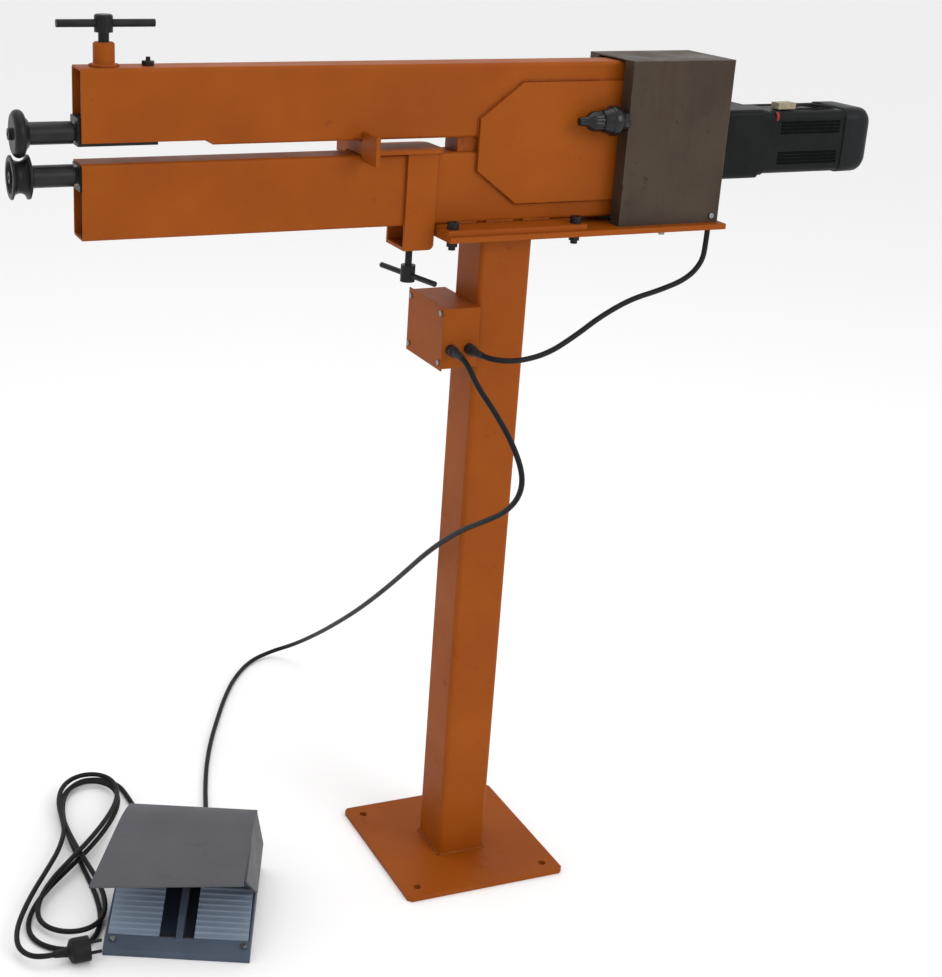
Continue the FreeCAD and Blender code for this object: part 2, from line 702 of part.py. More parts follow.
def make_gearmotor():
    """Gearbox, motor and fan cowl, as bought, on the mount plate."""
    left = D.mount_plate_left + 12
    half = D.gearbox_side / 2
    stock = block("gearbox_stock", (left, D.gearbox_right), (-half, half),
                  (MOTOR_AXIS - half, MOTOR_AXIS + half))
    shell = rounded("gearbox_round", stock, 8, "x")
    seat = rod("gearbox_seat", D.tail_radius + D.bush_clearance, (left, 0, LOWER_AXIS), "x", 8)
    node(cut("gearbox_housing", shell, seat))
    half = D.motor_side / 2
    stock = block("motor_stock", (D.gearbox_right, D.motor_right), (-half, half),
                  (MOTOR_AXIS - half, MOTOR_AXIS + half))
    shell = rounded("motor_round", stock, 12, "x")
    node(shell).Label = "motor_body"
    stock = block("cowl_stock", (D.motor_right, D.cowl_right), (-half, half),
                  (MOTOR_AXIS - half, MOTOR_AXIS + half))
    node(rounded("cowl_round", stock, 20, "x")).Label = "fan_cowl"
    node(block("motor_connector", (432, 462), (-34, -16), (MOTOR_AXIS + half, MOTOR_AXIS + half + 9)))


def make_gear_cover():
    """Bent sheet cover over the gears, notched round the arms and the gearbox."""
    floor = D.column_top + D.plate_thick
    sheet = D.cover_sheet
    half = D.cover_half
    left, right, top = D.cover_left, D.cover_right, D.cover_top
    shell = block("cover_stock", (left, right), (-half, half), (floor, top))
    hollow = block("cover_hollow", (left + sheet, right - sheet), (sheet - half, half - sheet),
                   (floor, top - sheet))
    notch = block("cover_arm_notch", (left, left + sheet), (-D.cover_notch_half, D.cover_notch_half),
                  (floor, top - sheet))
    window_half = D.gearbox_side / 2 + 1
    window = block("cover_drive_notch", (right - sheet, right), (-window_half, window_half),
                   (floor, MOTOR_AXIS + window_half + 3))
    stud = rod("cover_stud_hole", 4, (left, -D.knob_y, D.knob_z), "x", sheet)
    node(cut("gear_cover", shell, hollow, notch, window, stud))


def make_selector():
    """Selector on the cover: a fixed black body and a turning nose with a short tip."""
    x = D.cover_left
    body_right = x
    centre = (0, -D.knob_y, D.knob_z)
    wide = D.knob_body_radius
    node(turned("selector_body", [
        (x - 40, 0), (x - 40, 15), (x - 34, 17), (x - 26, wide), (x - 18, wide), (x - 7, 14),
        (body_right, 14),
        (body_right, 4), (x + D.cover_sheet + 10, 4), (x + D.cover_sheet + 10, 0)], centre))
    node(turned("selector_knob", [
        (x - 76, 0), (x - 76, 4), (x - 74, 6), (x - 64, 6.5), (x - 58, 12), (x - 54, 14), (x - 44, 14.5),
        (x - 40.4, 14.5), (x - 40.4, 0)], centre))


# ---------------------------------------------------------------- control box

def make_control_box():
    """Folded sheet box on the column's left face, with a lid screwed on from the left."""
    left, right = -D.box_left, -D.column_side / 2
    sheet = D.box_sheet
    near, far, floor, top = -D.box_near, D.box_far, D.box_floor, D.box_top
    shell = block("box_stock", (left + sheet, right), (near, far), (floor, top))
    hollow = block("box_hollow", (left + sheet, right - sheet), (near + sheet, far - sheet),
                   (floor + sheet, top - sheet))
    knockouts = [rod(f"box_knockout_{index}", 5, (-x, near, D.gland_level), "y", sheet)
                 for index, x in enumerate((D.first_gland_x, D.second_gland_x))]
    node(cut("control_box_body", shell, hollow, *knockouts))
    lid = block("lid_stock", (left, left + sheet), (near, far), (floor - 3, top + 3))
    spots = [(near + 8, floor + 8), (near + 8, top - 8), (far - 8, floor + 8), (far - 8, top - 8)]
    holes = [rod(f"lid_hole_{index}", 2, (left, y, z), "x", sheet) for index, (y, z) in enumerate(spots)]
    node(cut("control_box_lid", lid, *holes))
    screws = []
    for index, (y, z) in enumerate(spots):
        head = rod(f"lid_screw_head_{index}", 4, (left - 2, y, z), "x", 2)
        shank = rod(f"lid_screw_shank_{index}", 2, (left, y, z), "x", sheet)
        screws.append(fuse(f"lid_screw_{index}", head, shank))
    node(group("sheet_screws", *screws, *cover_screws()))
    glands = []
    for index, x in enumerate((D.first_gland_x, D.second_gland_x)):
        nut = rod(f"gland_nut_{index}", D.gland_radius, (-x, near - D.gland_length, D.gland_level), "y",
                  D.gland_length)
        neck = rod(f"gland_neck_{index}", 5, (-x, near, D.gland_level), "y", sheet + 4)
        glands.append(fuse(f"gland_{index}", nut, neck))
    top = D.column_top
    lip = rod("grommet_lip", CABLE_HOLE_RADIUS + 3, (CABLE_HOLE_X, CABLE_HOLE_Y, top - 3), "z", 3)
    neck = rod("grommet_neck", CABLE_HOLE_RADIUS, (CABLE_HOLE_X, CABLE_HOLE_Y, top), "z", D.plate_thick)
    node(group("cable_glands", *glands, fuse("plate_grommet", lip, neck)))


def cover_screws():
    """Small screws in the cover's sides and a stud end below the stand plate."""
    floor = D.column_top
    side = []
    for index, (sign, x) in enumerate(((-1, 318), (1, 318), (1, 180))):
        start = sign * D.cover_half if sign > 0 else -D.cover_half - 2.5
        side.append(rod(f"cover_screw_{index}", 4, (x, start, floor + 18), "y", 2.5))
    stub = rod("cover_stub", 4.5, (238, -60, floor - 6), "z", 6)
    return [*side, stub]


# ---------------------------------------------------------------- foot pedal

PEDAL_PLACE = FreeCAD.Placement(Vector(-518, -158, 0), FreeCAD.Rotation(AXES["z"], -23))
HINGE_Y, HINGE_Z = 32, 15
GLAND_LEVEL = 22
PEDAL_GLANDS = (("foot", 14), ("supply", -95))
GLAND_REACH = 12
HOOD_FOOT = 48.5


def on_pedal(item):
    """Move a piece drawn in the pedal's own frame to where the pedal lies."""
    item.Placement = PEDAL_PLACE.multiply(item.Placement)
    return node(item)


def wall_level(y):
    """Height of the pedal's side walls at a distance behind its front edge."""
    return 20 + (D.pedal_cheek_height - 20) * ((y - 25) / (DRIVING["pedal_depth"] - 25))


def make_pedal_base():
    half = D.pedal_width / 2
    depth = D.pedal_depth
    slab = block("pedal_slab", (-half, half), (0, depth), (0, D.pedal_floor_thick))
    toe = padded("pedal_toe", "YZ_Plane", [(0, 0), (24, 0), (24, 20), (6, 13), (0, 11)],
                 D.pedal_width, (-half, 0, 0))
    rear = block("pedal_rear_wall", (-half, half), (depth - 4, depth), (0, D.pedal_cheek_height))
    side_outline = [(20, 0), (depth, 0), (depth, D.pedal_cheek_height), (25, 20), (20, 18)]
    sides = [padded(f"pedal_side_{name}", "YZ_Plane", side_outline, 3, (x, 0, 0))
             for name, x in (("left", -half), ("right", half - 3))]
    rib_outline = [(10, 0), (depth - 10, 0), (depth - 10, 58), (60, 34), (20, 20)]
    rib = padded("pedal_divider", "YZ_Plane", rib_outline, 10, (-3, 0, 0))
    pin = rod("pedal_pin_hole", 3, (-half, HINGE_Y, HINGE_Z), "x", D.pedal_width)
    screws = [rod(f"toe_hole_{index}", 2.5, (x, 14, 0), "z", 30) for index, x in enumerate((-95, 99))]
    glands = [rod(f"{name}_gland_hole", 5, (x, depth - 4, GLAND_LEVEL), "y", 4) for name, x in PEDAL_GLANDS]
    on_pedal(cut("pedal_base", fuse("pedal_blank", slab, toe, rear, *sides, rib), pin, *screws, *glands))


def make_pedal_fittings():
    """Hinge pin, corner screws and cable glands of the pedal."""
    half = D.pedal_width / 2
    depth = D.pedal_depth
    pin = rod("hinge_pin_stock", 3, (-half, HINGE_Y, HINGE_Z), "x", D.pedal_width)
    on_pedal(group("pedal_hinge_pin", pin))
    screws = []
    for index, x in enumerate((-95, 99)):
        shank = rod(f"toe_shank_{index}", 2.5, (x, 14, 4), "z", 14.2)
        head = rod(f"toe_head_{index}", 4.5, (x, 14, 18.2), "z", 3)
        screws.append(fuse(f"toe_screw_{index}", shank, head))
    on_pedal(group("pedal_screws", *screws))
    glands = []
    for name, x in PEDAL_GLANDS:
        collar = rod(f"{name}_collar", 7, (x, depth, GLAND_LEVEL), "y", GLAND_REACH)
        neck = rod(f"{name}_neck", 5, (x, depth - 4, GLAND_LEVEL), "y", 4)
        glands.append(fuse(f"{name}_gland", collar, neck))
    on_pedal(group("pedal_glands", *glands))


def make_treadles():
    """Two ribbed plates hinged at the front."""
    length = 176
    rise = 33
    low = 18
    thick = 4
    inner_left, inner_right = -28, 24
    for name, span in (("left", (inner_left - D.treadle_width, inner_left)),
                       ("right", (inner_right, inner_right + 4 + D.treadle_width))):
        width = as_size(span[1]) - span[0]
        start = 25
        outline = [(start, low), (start + length, low + rise), (start + length, low + rise + thick)]
        outline += tread_ribs(start, length, rise, low + thick)
        plate = padded(f"{name}_tread", "YZ_Plane", outline, width, (span[0], 0, 0))
        barrel = rod(f"{name}_barrel", 5.5, (span[0], HINGE_Y, HINGE_Z), "x", width)
        bore = rod(f"{name}_bore", 3.05, (span[0], HINGE_Y, HINGE_Z), "x", width)
        on_pedal(cut(f"{name}_treadle", fuse(f"{name}_treadle_blank", plate, barrel), bore))


def tread_ribs(start, length, rise, top):
    """Grooved upper line of a treadle, from its rear edge to its front edge."""
    count = 16
    depth = 1.2
    points = []
    for index in range(count, 0, -1):
        for share, drop in ((0.95, 0), (0.8, depth), (0.35, depth), (0.2, 0)):
            along = (index - 1 + share) / count
            points.append((start + length * along, top + rise * along - drop))
    return points + [(start, top)]


def make_pedal_hood():
    """Sheet hood over the treadles: a flat top that curves down at the rear, on two cheeks that lean in."""
    depth = DRIVING["pedal_depth"]
    sheet = D.hood_sheet
    front, bend, curve = 6, 176, 204
    near_level = D.hood_level - 3
    far_level = D.hood_level + 2
    rear_level = far_level - 12
    outline = [(front, near_level - sheet), (bend, far_level - sheet), (depth - 3, rear_level - 2, curve),
               (depth - 3, HOOD_FOOT), (depth, HOOD_FOOT), (depth, rear_level),
               (bend, far_level, -curve), (front, near_level)]
    left, right = -128, 101
    roof = padded("hood_roof", "YZ_Plane", outline, right - left, (left, 0, 0))
    behind = depth + 1
    trims = {
        "left": [(left - 1, front - 1), (left, front - 1), (left + 28, behind), (left - 1, behind)],
        "right": [(right - 7, front - 1), (right + 1, front - 1), (right + 1, behind), (right, behind)],
        "front": [(left - 1, front - 1), (right + 1, front - 1), (right + 1, front + 24), (left, front)]}
    tools = [padded(f"hood_trim_{name}", "XY_Plane", shape, 130, (0, 0, 20)) for name, shape in trims.items()]
    cheeks = [hood_cheek("right", 1, 40, near_level, far_level, rear_level, bend),
              hood_cheek("left", -1, 150, near_level, far_level, rear_level, bend)]
    on_pedal(fuse("pedal_hood", cut("hood_top", roof, *tools), *cheeks))


def hood_cheek(name, side, tip, near_level, far_level, rear_level, bend):
    """Side sheet that leans in from outside the base to the hood's edge, starting at tip."""
    depth = D.pedal_depth
    lean = 11
    outline = [
        (tip + 70, HOOD_FOOT - 4), (depth, HOOD_FOOT - 4), (depth, rear_level - 4),
        (depth - 30, rear_level + 6),
        (bend, far_level - 1.5), (tip, near_level + (tip - 6) / 34 - 1.5)]
    inner = DRIVING["pedal_width"] / 2 + 0.8
    thick = DRIVING["hood_sheet"]
    plate = padded(f"hood_{name}_cheek", "YZ_Plane", outline, D.hood_sheet, (0, 0, 0))
    for axis in "xyz":
        plate.setExpression("Placement.Base." + axis, None)
    spin = FreeCAD.Rotation(AXES["y"], -side * lean)
    foot = Vector(0, 0, HOOD_FOOT - 4)
    start = Vector(inner if side > 0 else -inner - thick, 0, HOOD_FOOT - 4)
    plate.Placement = FreeCAD.Placement(start - spin.multVec(foot), spin)
    return plate


# ---------------------------------------------------------------- cords

def corner_arc(before, corner, after):
    """Largest tangent arc that fits two runs: its ends, its middle and its radius."""
    back = (before - corner).normalize()
    ahead = (after - corner).normalize()
    half_turn = (math.pi - back.getAngle(ahead)) / 2
    reach = 0.45 * min((before - corner).Length, (after - corner).Length)
    radius = reach / math.tan(half_turn)
    centre = corner + (back + ahead).normalize() * (radius / math.cos(half_turn))
    middle = centre + (corner - centre).normalize() * radius
    return corner + back * reach, middle, corner + ahead * reach, radius


def cord_tube(label, route, radius):
    """Round tube along straight runs joined by tangent arcs."""
    points = [Vector(*point) for point in route]
    edges = []
    radii = []
    start = points[0]
    for before, corner, after in zip(points, points[1:], points[2:]):
        arc_start, middle, arc_end, size = corner_arc(before, corner, after)
        edges.append(Part.LineSegment(start, arc_start).toShape())
        edges.append(Part.Arc(arc_start, middle, arc_end).toShape())
        radii.append(size)
        start = arc_end
    edges.append(Part.LineSegment(start, points[-1]).toShape())
    path = Part.Wire(edges)
    section = Part.Wire(Part.Circle(points[0], points[1] - points[0], radius).toShape())
    tube = path.makePipeShell([section], True, False)
    expected = math.pi * radius * radius * path.Length
    print(f"{label}: {path.Length:.0f} mm long, smallest bend {min(radii):.0f} mm,",
          f"volume {tube.Volume / expected:.4f} of section times length")
    return node(feature(label, tube))


MOTOR_ROUTE = [
    (-55, -64, 864), (-55, -91, 864), (-38, -112, 862), (-6, -117, 861), (44, -106, 866), (92, -95, 886),
    (134, -86, 908),
    (188, -76, 928), (240, -70, 937), (288, -64, 950), (315, -58, 972), (321, -53, 999), (321, -53, 1021)]

PEDAL_ROUTE = [
    (-84, -64, 864), (-84, -97, 864), (-85, -141, 838), (-77, -186, 812), (-66, -220, 779),
    (-55, -237, 739), (-50, -224, 701), (-53, -190, 664), (-59, -142, 633), (-63, -85, 598),
    (-64, -20, 552), (-61, 45, 502), (-54, 116, 446), (-46, 191, 388), (-39, 276, 323), (-33, 361, 260),
    (-28, 446, 200), (-22, 531, 142), (-19, 612, 88), (-26, 682, 40), (-55, 724, 10), (-108, 706, 4.2),
    (-161, 645, 4.2), (-205, 572, 4.2), (-243, 498, 4.2), (-279, 425, 4.2), (-310, 351, 4.2),
    (-336, 277, 4.2), (-357, 207, 5), (-378, 140, 13), (-391.4, 104.4, 22), (-404.68, 73.15, 22)]

SUPPLY_ROUTE = [(-505, 115.7, 22), (-490.1, 150.8, 22), (-476, 188, 10), (-468, 226, 4.2)]

HANK_HEIGHT = 32
HANK_OUTLINE = [
    (-690, -128), (-690, -104), (-640, -96), (-606, -74), (-584, -14), (-572, 50), (-582, 116), (-524, 180),
    (-490, 230), (-456, 223), (-450, 262), (-462, 324), (-492, 362), (-532, 376), (-574, 362), (-606, 312),
    (-616, 186), (-664, 100), (-726, 0), (-746, -70), (-744, -104), (-720, -128)]
PLUG_TAIL = (-690, -118, 18.7)


def make_cords():
    """Motor cable, pedal cable, and the supply cable with its loose hank."""
    radius = DRIVING["cord_radius"]
    cord_tube("motor_cable", MOTOR_ROUTE, radius)
    cord_tube("pedal_cable", PEDAL_ROUTE, radius)
    cord_tube("mains_cable", SUPPLY_ROUTE, radius)
    node(padded("mains_hank", "XY_Plane", HANK_OUTLINE, HANK_HEIGHT, (0, 0, 0)))


def make_plug():
    """Round two-pin plug lying on its side beside the hank."""
    x, y, z = PLUG_TAIL
    tail, neck, body = 20, 25, 52
    shell = turned("plug_shell", [
        (x, 0), (x, 5), (x + tail, 7.5), (x + neck, 17), (x + neck + 4, 18.5),
        (x + body, 18.5), (x + body, 0)],
        (0, y, z))
    pins = [rod(f"plug_pin_{index}", 2.4, (x + body, y, z + offset), "x", 19)
            for index, offset in enumerate((-9.5, 9.5))]
    node(fuse("mains_plug", shell, *pins))


# ---------------------------------------------------------------- build, check and export

def check_and_export():
    """Stop on any broken object, then write every node to its own file."""
    doc.recompute()
    for item in doc.Objects:
        if "Invalid" in item.State or "Error" in item.State:
            raise RuntimeError(f"{item.Label} did not compute: {item.State}")
    os.makedirs("parts", exist_ok=True)
    for item in NODES:
        shape = item.Shape
        if shape.isNull() or not shape.isValid() or not shape.Solids:
            raise RuntimeError(f"{item.Label} has no valid solid")
        shape.exportStep(f"parts/{item.Label}.step")
        print(f"{item.Label}: {len(shape.Solids)} solid, {shape.Volume / 1000:.1f} cm3")
    print(len(NODES), "nodes")


make_base_plate()
make_column()
make_stand_plates()
make_foot_bolts()
make_arms()
make_gussets()
make_bearing_plate()
make_shafts()
make_rolls()
make_roll_screws()
make_front_bearings()
make_pressure_screw()
make_guide()
make_guide_clamp()
make_gears()
make_coupling()
make_drive_mount()
make_gearmotor()
make_gear_cover()
make_selector()
make_control_box()
make_pedal_base()
make_pedal_fittings()
make_treadles()
make_pedal_hood()
make_cords()
make_plug()
check_and_export()
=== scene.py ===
import json
import math
import bmesh
import bpy
from mathutils import Matrix, Vector


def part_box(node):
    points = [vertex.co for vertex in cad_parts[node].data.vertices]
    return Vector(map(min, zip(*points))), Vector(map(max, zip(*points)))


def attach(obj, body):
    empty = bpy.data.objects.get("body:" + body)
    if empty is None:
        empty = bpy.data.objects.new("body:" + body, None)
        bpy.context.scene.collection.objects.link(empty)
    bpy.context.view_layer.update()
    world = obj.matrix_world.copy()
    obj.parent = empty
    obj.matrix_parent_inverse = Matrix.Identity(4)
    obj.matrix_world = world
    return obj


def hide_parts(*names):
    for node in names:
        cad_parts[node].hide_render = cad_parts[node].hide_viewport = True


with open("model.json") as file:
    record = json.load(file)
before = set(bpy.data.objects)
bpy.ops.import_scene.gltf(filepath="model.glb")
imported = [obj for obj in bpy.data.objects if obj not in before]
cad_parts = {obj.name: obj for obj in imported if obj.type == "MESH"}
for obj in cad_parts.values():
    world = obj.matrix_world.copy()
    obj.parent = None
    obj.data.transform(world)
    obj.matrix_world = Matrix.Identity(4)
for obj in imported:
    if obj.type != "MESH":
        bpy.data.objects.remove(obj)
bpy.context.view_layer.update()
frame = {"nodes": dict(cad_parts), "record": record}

# Looks for the motorised bead roller: camera, cords, materials, detailed pieces and light.
# Everything is in metres, in the CAD's frame: +X to the motor, -Y to the operator, +Z up.

MM = 0.001


# ---------------------------------------------------------------- camera

CAMERA_PLACE = Vector((-1.1054, -2.1015, 1.5212))
CAMERA_AHEAD = Vector((0.33245, 0.87578, -0.34998))
CAMERA_ROLL = math.radians(1.8)


def add_camera():
    """The operator's side, from the left and a little above, rolled slightly."""
    ahead = CAMERA_AHEAD.normalized()
    level = ahead.cross(Vector((0, 0, 1))).normalized()
    upright = level.cross(ahead)
    right = level * math.cos(CAMERA_ROLL) + upright * math.sin(CAMERA_ROLL)
    up = upright * math.cos(CAMERA_ROLL) - level * math.sin(CAMERA_ROLL)
    data = bpy.data.cameras.new("camera")
    data.sensor_width = 36
    data.lens = 61.2
    data.shift_x = 0.188
    data.shift_y = -0.016
    data.clip_end = 50
    camera = bpy.data.objects.new("camera", data)
    turn = Matrix((right, up, -ahead)).transposed().to_4x4()
    camera.matrix_world = Matrix.Translation(CAMERA_PLACE) @ turn
    bpy.context.collection.objects.link(camera)
    bpy.context.scene.camera = camera


# ---------------------------------------------------------------- cords

CORD = 8 * MM

# Control points of the cords, in millimetres.
MOTOR_ROUTE = [
    (-55, -64, 864), (-55, -91, 864), (-38, -112, 862), (-6, -117, 861), (44, -106, 866), (92, -95, 886),
    (134, -86, 908), (188, -76, 928), (240, -70, 937), (288, -64, 950), (315, -58, 972), (321, -53, 999),
    (321, -53, 1021)]

PEDAL_ROUTE = [
    (-84, -64, 864), (-84, -97, 864), (-85, -141, 838), (-77, -186, 812), (-66, -220, 779),
    (-55, -237, 739), (-50, -224, 701), (-53, -190, 664), (-59, -142, 633), (-63, -85, 598),
    (-64, -20, 552), (-61, 45, 502), (-54, 116, 446), (-46, 191, 388), (-39, 276, 323), (-33, 361, 260),
    (-28, 446, 200), (-22, 531, 142), (-19, 612, 88), (-26, 682, 40), (-55, 724, 10), (-108, 706, 4.2),
    (-161, 645, 4.2), (-205, 572, 4.2), (-243, 498, 4.2), (-279, 425, 4.2), (-310, 351, 4.2),
    (-336, 277, 4.2), (-357, 207, 5), (-378, 140, 13), (-391.4, 104.4, 22), (-404.68, 73.15, 22)]

SUPPLY_ROUTE = [(-505, 115.7, 22), (-490.1, 150.8, 22), (-476, 188, 10), (-468, 226, 4.2)]

# From the last turn down the hank's left side and round into the plug.
PLUG_LEAD = [
    (-604, 186, 20.6), (-626, 136, 20.6), (-656, 88, 20.6), (-686, 41, 20.6), (-711, -4, 20.6),
    (-729, -44, 20), (-736, -80, 19), (-729, -104, 18.7), (-711, -118, 18.7), (-690, -118, 18.7)]

HANK_CENTRE = Vector((-594, 118))
HANK_ALONG = Vector((-0.316, -0.9487))
HANK_ACROSS = Vector((0.9487, -0.316))

# Each lobe of the hank, in millimetres: its reach from the crossing (negative away from the
# operator), half its width going out and coming back, its height, and its height over the
# crossing at its end.
LOBES = [
    (-256, 64, 46, 4.2, 4.2), (224, 44, 66, 4.2, 12.4), (-236, 50, 47, 12.4, 20.6),
    (192, 50, 54, 12.4, 27), (-246, 48, 52, 20.6, 20.6)]

# A lobe runs through half a turn, in degrees from its far end, in even steps.
LOBE_STEP = 15
LOBE_START, LOBE_END = -82.5, 83
FIRST_LOBE_START, LAST_LOBE_END = -38, 68
HUMP_LENGTH = 62


def hank_points():
    """Loose turns of the supply cord: figures of eight whose lobes differ in size and fan out."""
    points = []
    before = LOBES[0][3]
    for index, (reach, out, back, level, after) in enumerate(LOBES):
        first = FIRST_LOBE_START if index == 0 else LOBE_START
        last = LAST_LOBE_END if index == len(LOBES) - 1 else LOBE_END
        for place in range(int((last - first) / LOBE_STEP) + 1):
            turn = first + place * LOBE_STEP
            angle = math.radians(turn)
            run = reach * math.cos(angle)
            side = -(out if turn < 0 else back) * math.sin(2 * angle)
            flat = HANK_CENTRE + HANK_ALONG * run + HANK_ACROSS * side
            rise = [math.cos(math.pi / 2 * min(abs(turn - end) / HUMP_LENGTH, 1)) ** 2
                    for end in (-90, 90)]
            height = level + (before - level) * rise[0] + (after - level) * rise[1]
            points.append((flat.x, flat.y, height))
        before = after
    return points


def add_cord_curve(name, route):
    """Smooth round cord whose control points are the route's, given in millimetres."""
    curve = bpy.data.curves.new(name, "CURVE")
    curve.dimensions = "3D"
    curve.bevel_depth = CORD / 2
    curve.bevel_resolution = 5
    curve.resolution_u = 10
    curve.use_fill_caps = True
    spline = curve.splines.new("NURBS")
    spline.points.add(len(route) - 1)
    for point, (x, y, z) in zip(spline.points, route):
        point.co = (x * MM, y * MM, z * MM, 1)
    spline.order_u = 3
    spline.use_endpoint_u = True
    cord = bpy.data.objects.new(name, curve)
    bpy.context.collection.objects.link(cord)
    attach(cord, "stand")
    return cord


def add_cords(finish):
    motor = add_cord_curve("motor_lead", MOTOR_ROUTE)
    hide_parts("motor_cable")
    pedal = add_cord_curve("pedal_lead", PEDAL_ROUTE)
    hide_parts("pedal_cable")
    supply = add_cord_curve("supply_lead", SUPPLY_ROUTE + hank_points() + PLUG_LEAD)
    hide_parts("mains_cable", "mains_hank")
    for cord in (motor, pedal, supply):
        cord.data.materials.append(finish)
    return motor, pedal, supply


def centre_line(cord):
    """Points along a cord's spline, from its exit, read from the curve without its bevel."""
    bare = cord.data.copy()
    bare.bevel_depth = 0
    holder = bpy.data.objects.new("bare_line", bare)
    line = bpy.data.meshes.new_from_object(holder)
    points = [vertex.co.copy() for vertex in line.vertices]
    bpy.data.objects.remove(holder)
    bpy.data.meshes.remove(line)
    return points


SLEEVE_LENGTH = 26 * MM
SLEEVE_RADIUS, SLEEVE_TAPER = 6.4 * MM, 1.7 * MM
SLEEVE_COLLAR = 4 * MM
SLEEVE_GROOVE = 0.7 * MM
SLEEVE_STEP = 1 * MM


def add_sleeves(cords, finish):
    """Tapered, grooved strain reliefs on the cords where they leave the box and the pedal."""
    mesh = bmesh.new()
    motor, pedal, supply = (centre_line(cord) for cord in cords)
    for path in (motor, pedal, pedal[::-1], supply):
        sleeve_rings(mesh, path)
    add_mesh("strain_reliefs", mesh, "stand", finish)


def sleeve_rings(mesh, path):
    """Closed sleeve that follows a path and tapers along it, with a groove every 4 mm."""
    spots = [(0, path[0], (path[1] - path[0]).normalized())]
    travelled = 0
    for start, end in zip(path, path[1:]):
        run = (end - start).length
        while SLEEVE_STEP * len(spots) <= min(travelled + run, SLEEVE_LENGTH):
            reach = SLEEVE_STEP * len(spots)
            share = (reach - travelled) / run
            spots.append((reach, start.lerp(end, share), (end - start).normalized()))
        travelled += run
    rings = []
    for travel, spot, along in spots:
        radius = SLEEVE_RADIUS - SLEEVE_TAPER * travel / SLEEVE_LENGTH
        if travel > SLEEVE_COLLAR and int(travel / SLEEVE_STEP) % 4 in (1, 2):
            radius -= SLEEVE_GROOVE
        rings.append(ring(mesh, spot, along, radius, 20))
    close_tube(mesh, rings)


def circle(sides):
    """Evenly spaced turns round a circle, in radians."""
    return [2 * math.pi * step / sides for step in range(sides)]


def ring(mesh, spot, along, radius, sides, side=None):
    """Circle of vertices square to a direction, starting on its level side unless one is given."""
    if side is None:
        side = along.cross(Vector((0, 0, 1)))
        side = side.normalized() if side.length > 0.1 else Vector((1, 0, 0))
        other = side.cross(along)
    else:
        other = along.cross(side)
    return [mesh.verts.new(spot + (side * math.cos(turn) + other * math.sin(turn)) * radius)
            for turn in circle(sides)]


def bridge(mesh, rings):
    """Faces between each ring of vertices and the next."""
    for first, second in zip(rings, rings[1:]):
        count = len(first)
        for step in range(count):
            ahead = (step + 1) % count
            mesh.faces.new((first[step], first[ahead], second[ahead], second[step]))


def close_tube(mesh, rings):
    """Faces between the rings, and a cap on each end."""
    bridge(mesh, rings)
    mesh.faces.new(rings[0][::-1])
    mesh.faces.new(rings[-1])


# ---------------------------------------------------------------- materials

class Shader:
    """Short hand for one material's node tree."""

    def __init__(self, name):
        self.material = bpy.data.materials.new(name)
        self.material.use_nodes = True
        self.tree = self.material.node_tree
        self.surface = self.tree.nodes["Principled BSDF"]
        self.place = self.node("ShaderNodeTexCoord").outputs["Object"]

    def node(self, kind, **settings):
        made = self.tree.nodes.new(kind)
        for name, value in settings.items():
            setattr(made, name, value)
        return made

    def wire(self, source, target):
        self.tree.links.new(source, target)

    def noise(self, size, detail=4, rough=0.55, stretch=(1, 1, 1)):
        """Noise whose features are about size metres across, from 0 to 1."""
        mapping = self.node("ShaderNodeMapping")
        mapping.inputs["Scale"].default_value = [part / size for part in stretch]
        self.wire(self.place, mapping.inputs["Vector"])
        cloud = self.node("ShaderNodeTexNoise")
        cloud.inputs["Scale"].default_value = 1
        cloud.inputs["Detail"].default_value = detail
        cloud.inputs["Roughness"].default_value = rough
        self.wire(mapping.outputs["Vector"], cloud.inputs["Vector"])
        return cloud.outputs["Fac"]

    def limits(self, source, low, high, to_low=0, to_high=1):
        """Stretch a value from low..high to to_low..to_high, clamped."""
        span = self.node("ShaderNodeMapRange")
        for name, value in (("From Min", low), ("From Max", high),
                            ("To Min", to_low), ("To Max", to_high)):
            span.inputs[name].default_value = value
        self.wire(source, span.inputs["Value"])
        return span.outputs["Result"]

    def product(self, first, second):
        step = self.node("ShaderNodeMath", operation="MULTIPLY")
        self.wire(first, step.inputs[0])
        self.wire(second, step.inputs[1])
        return step.outputs["Value"]

    def blend(self, share, first, second):
        """Mix two colours, each a tuple or a socket, by a socket's share."""
        mix = self.node("ShaderNodeMix", data_type="RGBA")
        self.wire(share, mix.inputs["Factor"])
        for socket, value in ((mix.inputs[6], first), (mix.inputs[7], second)):
            if isinstance(value, tuple):
                socket.default_value = (*value, 1)
            else:
                self.wire(value, socket)
        return mix.outputs[2]

    def soft_normal(self, radius):
        """Normal that rounds the edges by a radius in metres."""
        bevel = self.node("ShaderNodeBevel", samples=4)
        bevel.inputs["Radius"].default_value = radius
        return bevel.outputs["Normal"]

    def edges(self, normal, breakup):
        """Mask of worn outer edges, broken up by noise."""
        flat = self.node("ShaderNodeNewGeometry").outputs["Normal"]
        dot = self.node("ShaderNodeVectorMath", operation="DOT_PRODUCT")
        self.wire(normal, dot.inputs[0])
        self.wire(flat, dot.inputs[1])
        turn = self.limits(dot.outputs["Value"], 0.995, 0.9)
        return self.product(turn, breakup)

    def relief(self, height, depth, normal):
        """Bump the surface by a height of up to depth metres."""
        bump = self.node("ShaderNodeBump")
        bump.inputs["Strength"].default_value = 1
        bump.inputs["Distance"].default_value = depth
        self.wire(height, bump.inputs["Height"])
        self.wire(normal, bump.inputs["Normal"])
        self.wire(bump.outputs["Normal"], self.surface.inputs["Normal"])


ROUGH_SWING = 0.12


